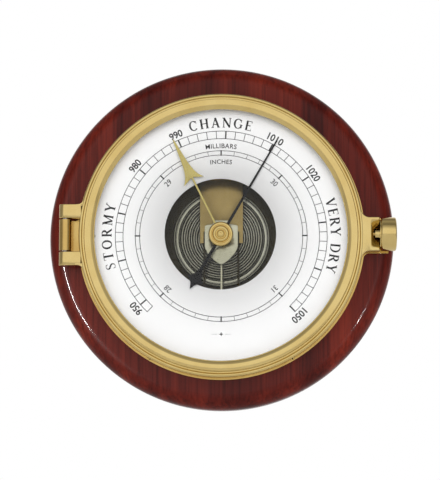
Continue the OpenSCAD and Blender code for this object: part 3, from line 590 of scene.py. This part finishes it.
B, T_ = SF / 2, 1 - SF / 2
GLY = {
    "C": (0.80, [ell(0.42, 0.5, 0.34, 0.475, 44, 316, TH, TN), [(0.70, 0.66, 0.05), (0.70, 0.95, 0.05)], [(0.70, 0.10, 0.04), (0.70, 0.22, 0.03)]]),
    "G": (0.88, [ell(0.42, 0.5, 0.34, 0.475, 44, 312, TH, TN), [(0.70, 0.66, 0.05), (0.70, 0.95, 0.05)], [(0.72, 0.08, TH * 0.9), (0.72, 0.42, TH * 0.9)], serif(0.72, 0.42, 0.28)]),
    "H": (0.90, [[(0.18, 0, TH), (0.18, 1, TH)], [(0.72, 0, TH), (0.72, 1, TH)], [(0.18, 0.51, TN), (0.72, 0.51, TN)], serif(0.18, B), serif(0.18, T_), serif(0.72, B), serif(0.72, T_)]),
    "A": (0.86, [[(0.12, 0, TN), (0.42, 1, TN)], [(0.41, 1, TH), (0.73, 0, TH)], [(0.22, 0.32, TN), (0.62, 0.32, TN)], serif(0.12, B, 0.24), serif(0.73, B, 0.28)]),
    "N": (0.92, [[(0.16, 0, TN), (0.16, 1, TN)], [(0.76, 0, TN), (0.76, 1, TN)], [(0.15, 0.97, TH), (0.75, 0.04, TH)], serif(0.16, B, 0.24), serif(0.12, T_, 0.2), serif(0.76, T_, 0.24)]),
    "E": (0.74, [[(0.18, 0, TH), (0.18, 1, TH)], [(0.10, B, SF), (0.64, B, SF)], [(0.10, T_, SF), (0.62, T_, SF)], [(0.18, 0.52, TN), (0.50, 0.52, TN)], [(0.64, 0, 0.045), (0.64, 0.24, 0.03)], [(0.615, 1, 0.045), (0.615, 0.78, 0.03)], [(0.50, 0.42, 0.035), (0.50, 0.62, 0.035)]]),
    "S": (0.66, [[(0.52, 0.80, 0.05), (0.47, 0.93, 0.055), (0.33, 0.975, 0.06), (0.18, 0.92, 0.09), (0.12, 0.77, 0.12), (0.17, 0.64, 0.14), (0.32, 0.54, 0.16), (0.47, 0.43, 0.15), (0.54, 0.28, 0.125), (0.49, 0.11, 0.09), (0.34, 0.025, 0.06), (0.18, 0.06, 0.055), (0.10, 0.20, 0.05)], [(0.53, 0.72, 0.04), (0.53, 0.97, 0.04)], [(0.09, 0.03, 0.04), (0.09, 0.28, 0.04)]]),
    "T": (0.80, [[(0.40, 0, TH), (0.40, 1, TH)], [(0.06, T_, SF), (0.74, T_, SF)], [(0.06, 1, 0.045), (0.06, 0.76, 0.03)], [(0.74, 1, 0.045), (0.74, 0.76, 0.03)], serif(0.40, B, 0.34)]),
    "O": (0.92, [ell(0.46, 0.5, 0.355, 0.475, 0, 360, TH, TN, 36)]),
    "R": (0.86, [[(0.18, 0, TH), (0.18, 1, TH)], serif(0.18, B), [(0.06, T_, SF), (0.36, T_, SF)], ell(0.34, 0.735, 0.235, 0.235, 90, -90, TH, TN), [(0.18, 0.50, TN), (0.36, 0.50, TN)], [(0.40, 0.50, TH), (0.74, 0.03, TH * 0.9)], serif(0.78, B, 0.16)]),
    "M": (1.06, [[(0.16, 0, TN), (0.16, 1, TN)], [(0.16, 0.99, TH), (0.50, 0.05, TH)], [(0.50, 0.03, TN), (0.86, 1, TN)], [(0.88, 0, TH), (0.88, 1, TH)], serif(0.16, B, 0.24), serif(0.13, T_, 0.2), serif(0.88, B), serif(0.90, T_, 0.22)]),
    "Y": (0.84, [[(0.12, 1, TH), (0.42, 0.46, TH)], [(0.42, 0.46, TN), (0.70, 1, TN)], [(0.42, 0, TH), (0.42, 0.50, TH)], serif(0.42, B, 0.32), serif(0.12, T_, 0.28), serif(0.71, T_, 0.22)]),
    "V": (0.86, [[(0.13, 1, TH), (0.43, 0.02, TH)], [(0.43, 0.0, TN), (0.72, 1, TN)], serif(0.13, T_, 0.28), serif(0.73, T_, 0.22)]),
    "D": (0.90, [[(0.18, 0, TH), (0.18, 1, TH)], serif(0.16, B, 0.2), serif(0.16, T_, 0.2), [(0.16, B, SF), (0.44, B, SF)], [(0.16, T_, SF), (0.44, T_, SF)], ell(0.42, 0.5, 0.36, 0.475, 90, -90, TH, TN)]),
    " ": (0.42, []),
}


def stroke(pts):
    """Turns (x, y, width) points into quads, so each strip can be bent round the dial."""
    L, R = [], []
    n = len(pts)
    for i, (x, y, w) in enumerate(pts):
        x0, y0 = pts[max(0, i - 1)][:2]
        x1, y1 = pts[min(n - 1, i + 1)][:2]
        dx, dy = x1 - x0, y1 - y0
        d = hypot(dx, dy) or 1
        nx, ny = -dy / d * w / 2, dx / d * w / 2
        L.append((x + nx, y + ny)); R.append((x - nx, y - ny))
    return [[L[i], L[i + 1], R[i + 1], R[i]] for i in range(n - 1)]


def word(text, a0, a1, base, h, ink_, width=1.0):
    """Letters on the arc of radius base, filling the angles a0 down to a1."""
    arc_len = radians(abs(a0 - a1)) * base
    ws = [GLY[c][0] * h * width for c in text]
    gap = (arc_len - sum(ws)) / (len(text) - 1)
    x = -arc_len / 2
    mid = (a0 + a1) / 2
    for c, w in zip(text, ws):
        for st_ in GLY[c][1]:
            for q in stroke(st_):
                bent([(x + px * h * width, py * h) for px, py in q], base, mid, ink_)
        x += w + gap


def label(text, th, rc, h, ink_, weight=0.0, squeeze=1.0, spacing=1.0):
    """Plain numerals and small words: the built-in face turned to mesh, centred at (rc, th), top outward."""
    cu = bpy.data.curves.new("t", "FONT")
    cu.body = text; cu.size = 1.0; cu.offset = weight; cu.space_character = spacing; cu.resolution_u = 4
    o = bpy.data.objects.new("t", cu)
    bpy.context.collection.objects.link(o)
    bpy.context.view_layer.update()
    me = bpy.data.meshes.new_from_object(o.evaluated_get(bpy.context.evaluated_depsgraph_get()))
    xs = [v.co.x for v in me.vertices]; ys = [v.co.y for v in me.vertices]
    k = h / (max(ys) - min(ys))
    cx, cy = (max(xs) + min(xs)) / 2, (max(ys) + min(ys)) / 2
    for f in me.polygons:
        bent([((me.vertices[i].co.x - cx) * k * squeeze, (me.vertices[i].co.y - cy) * k) for i in f.vertices], rc, th, ink_)
    bpy.data.objects.remove(o)


word("CHANGE", 106.2, 74.0, 66.3, 6.0, ink)
word("STORMY", 197.2, 163.4, 66.3, 6.0, ink)
word("VERY DRY", 18.9, -19.0, 66.3, 6.0, ink)
for p in (950, 980, 990, 1010, 1020, 1050):
    label(str(p), mb(p), 67.6, 4.5, ink, weight=0.022, squeeze=0.92)
for a, t in ((225, "28"), (135, "29"), (45, "30"), (-45, "31")):
    label(t, a, 45.6, 3.3, ink, weight=0.008, squeeze=0.95)
label("MILLIBARS", 90, 55.0, 2.9, ink, weight=0.010, squeeze=1.0, spacing=1.06)
label("INCHES", 90, 45.3, 2.7, ink, weight=0.012, squeeze=1.0, spacing=1.08)
# small star between two rules, low on the dial
star = []
for i in range(8):
    rr = 1.5 if i % 2 == 0 else 0.45
    star.append((rr * sin(pi * i / 4), -59.6 + rr * cos(pi * i / 4)))
for i in range(8):
    ink.poly([(0, -59.6), star[i], star[(i + 1) % 8]])
for sx in (1, -1):
    ink.poly([(sx * 2.3, -59.5), (sx * 6.2, -59.55), (sx * 6.2, -59.65), (sx * 2.3, -59.7)])
o = ink.obj("dial_print_black", M["print"]); done(o, "case", "dial_white")
o = fine.obj("dial_print_scale_lines", M["grey"]); done(o, "case", "dial_white")

# ---- capsule, smooth corrugations
def wave(r):
    return 0.0 if (r < 9 or r > 26.4) else 0.62 * sin((r - 9) / 2.9 * 2 * pi)


rs = [3 + i * (28.2 - 3) / 240 for i in range(241)]
CM = 10.4
top = [(r, CM + 1.9 + wave(r)) for r in rs] + arc(28.85, CM + 1.9, 0.7, 180, 0, 10)[1:] + [(29.6, CM + 1.2), (29.6, CM + 0.02), (28.1, CM + 0.02), (28.1, CM + 1.5)] + [(r, CM + 1.5 + wave(r)) for r in reversed(rs)]
# The real corrugations are in the shape. Its material also paints dark and bright reflection bands into the colour.
cap = lathe("capsule_diaphragm", top, M["painted_reflection_bands"], steps=200, sharp=40)
done(cap, "case", "capsule_metal", "capsule_upper")

# ---- leaf spring, arched plate with broken edges
def arch(y):
    return 15.2 + 0.45 * (1 - y / 40.0) + 1.5 * sin(max(0.0, min(pi, (36 - y) / 29.0 * pi)))


side = [(39.5 - i * 42.8 / 60, arch(39.5 - i * 42.8 / 60)) for i in range(61)]
ol = side + [(y, z + 0.9) for y, z in reversed(side)]
leaf = prism("leaf_spring_plate", ol, -13.1, 13.1, M["mbrass"], bevel=0.12, seg=2, place=lambda a, b, c: P(c, a, b), sharp=50)
cutter = prism("cutter", [(1.6 * cos(radians(a)), 1.6 * sin(radians(a))) for a in range(0, 360, 15)], 10, 22, M["mbrass"], bevel=0)
cut(leaf, cutter)
done(leaf, "case", "movement_brass", "leaf_spring")

# ---- bridge plate
half = [(4.8, 9.9), (4.8, 8.2), (5.6, 7.6), (9.0, 7.0), (9.8, 6.7), (10.1, 6.0), (10.1, -5.6), (9.6, -7.5), (8.6, -9.6), (7.35, -11.2), (5.8, -13.0), (4.1, -14.6), (2.2, -16.0), (0.8, -16.75)]
pts = half + [(-x, y) for x, y in reversed(half)]
br = prism("bridge_plate_shield", pts, 21.9, 22.9, M["nickel"], bevel=0.18, seg=3)
cut(br, prism("cutter", [(0.66 * cos(radians(a)), 0.66 * sin(radians(a))) for a in range(0, 360, 15)], 20, 25, M["nickel"], bevel=0))
done(br, "case", "nickel", "bridge_plate")

# ------------------------------------------------------------------ finishes on the CAD nodes
FIN = {
    "brass": ["flange_screws", "latch_post", "retaining_ring", "clamp_washer", "set_washer", "set_nut"],
    "brass_side": ["case_flange"],
    # brass parts inside the case, with painted shade in their colour
    "bronzed": ["case_cup", "movement_base", "arbor_cock"],
    "chain": ["pull_chain", "rocker_shaft"],
    "mbrass": ["base_spacers", "capsule_post", "adjusting_screw", "spring_bracket", "spring_clamp", "rocker_bearings", "cock_pillars", "bridge_pillars", "hairspring_collet", "hairspring_stud"],
    "steel": ["hanger_plate", "hanger_screws", "hinge_pin", "movement_screws", "clamp_screws", "lever_screws", "link_rod", "cock_screws", "bridge_screws", "pointer_arbor", "post_pin"],
    "nickel": ["dial_screws", "lever_arm"],
    "capsule": ["capsule_lower"],
    "rubber": ["glass_gasket"],
    "bush": ["glass_bush"],
    "alu": ["dial_ring"],
    "blue": ["hairspring"],
}
for k, names in FIN.items():
    for nm in names:
        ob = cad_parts[nm]
        ob.data.materials.clear()
        ob.data.materials.append(M[k])

# ------------------------------------------------------------------ studio
def card(name, loc, target, w, h, strength, color=(1, 1, 1)):
    li = bpy.data.lights.new(name, "AREA")
    li.shape = "RECTANGLE"; li.size = w; li.size_y = h
    li.energy = strength; li.color = color
    o = bpy.data.objects.new(name, li)
    o.location = loc
    d = Vector(target) - Vector(loc)
    o.rotation_euler = d.to_track_quat("-Z", "Y").to_euler()
    bpy.context.collection.objects.link(o)
    return o


fm, nt, out = new_mat("studio_floor")
fb = node(nt, "ShaderNodeBsdfPrincipled")
put(fb, "Base Color", (0.86, 0.86, 0.85, 1)); put(fb, "Roughness", 0.9)
nt.links.new(fb.outputs[0], out.inputs[0])
me = bpy.data.meshes.new("floor")
me.from_pydata([(-4, -4, -0.30), (4, -4, -0.30), (4, 4, -0.30), (-4, 4, -0.30)], [], [(0, 1, 2, 3)])
me.materials.append(fm)
floor = bpy.data.objects.new("studio_floor", me)
bpy.context.collection.objects.link(floor)

w = bpy.data.worlds.new("studio")
bpy.context.scene.world = w
w.use_nodes = True
wt = w.node_tree
bgn = wt.nodes["Background"]
bgn.inputs[1].default_value = 1.0
wc = node(wt, "ShaderNodeTexCoord")
ws = node(wt, "ShaderNodeSeparateXYZ")
wt.links.new(wc.outputs["Generated"], ws.inputs[0])
wa = node(wt, "ShaderNodeMath", operation="ABSOLUTE")
wt.links.new(ws.outputs[1], wa.inputs[0])
wr = ramp(wt, [(0.0, (0.42, 0.42, 0.42, 1)), (0.42, (0.20, 0.20, 0.20, 1)), (0.70, (0.60, 0.60, 0.60, 1)), (0.86, (1, 1, 1, 1))])
wt.links.new(wa.outputs[0], wr.inputs[0]); wt.links.new(wr.outputs[0], bgn.inputs[0])


def strip(name, a, b, dist, width, strength):
    """A thin light lying between two directions seen from the part."""
    p0, p1 = Vector(a).normalized() * dist, Vector(b).normalized() * dist
    mid = (p0 + p1) / 2
    li = bpy.data.lights.new(name, "AREA")
    li.shape = "RECTANGLE"; li.size = (p1 - p0).length; li.size_y = width
    li.energy = strength
    o = bpy.data.objects.new(name, li)
    z = mid.normalized()
    x = (p1 - p0).normalized()
    x = (x - z * x.dot(z)).normalized()
    y = z.cross(x)
    o.matrix_world = Matrix(((x.x, y.x, z.x, mid.x), (x.y, y.y, z.y, mid.y), (x.z, y.z, z.z, mid.z), (0, 0, 0, 1)))
    bpy.context.collection.objects.link(o)
    o.visible_diffuse = False      # only its streak in the varnish is wanted
    o.light_linking.receiver_collection = only_wood


only_wood = bpy.data.collections.new("only_wood")
only_wood.objects.link(board)
strip("strip_low_left", (-0.581, -0.814, 0.006), (-0.335, -0.863, -0.379), 1.5, 0.055, 42)
strip("strip_low_right", (0.49, -0.86, -0.15), (0.28, -0.87, -0.42), 1.5, 0.035, 22)
floor_light = card("floor_light", (0.0, 0.2, 3.0), (0.0, 0.0, -0.3), 3.0, 3.0, 48)
floor_light.visible_glossy = False
only_floor = bpy.data.collections.new("only_floor")
only_floor.objects.link(floor)
floor_light.light_linking.receiver_collection = only_floor
fill = card("front_fill", (0.0, -2.2, 0.5), (0, 0, 0), 1.6, 1.2, 6)
fill.visible_glossy = False   # it lights the wood without a glare on the brass
dial_fill = card("dial_fill", (0.0, -2.2, 0.1), (0, 0, 0), 1.6, 1.2, 23)
dial_fill.visible_glossy = False
only_dial = bpy.data.collections.new("only_dial")
only_dial.objects.link(dial)
dial_fill.light_linking.receiver_collection = only_dial

# ------------------------------------------------------------------ camera
AZ, EL, DIST = 1.287, -6.606, 1.2589
cam = bpy.data.cameras.new("photo")
cam.lens = 154.36
cam.sensor_width = 36.0
cam.clip_start = 0.05; cam.clip_end = 20
co = bpy.data.objects.new("photo", cam)
bpy.context.collection.objects.link(co)
tgt = Vector((-0.00102, -0.012, -0.00087))
d = Vector((sin(radians(AZ)) * cos(radians(EL)), -cos(radians(AZ)) * cos(radians(EL)), sin(radians(EL))))
co.location = tgt + d * DIST
co.rotation_euler = (-d).to_track_quat("-Z", "Y").to_euler()
cam.shift_x = 0.0
cam.shift_y = 0.0
bpy.context.scene.camera = co
bpy.context.scene.view_settings.view_transform = "Standard"   # plain colours, as a product photograph is printed
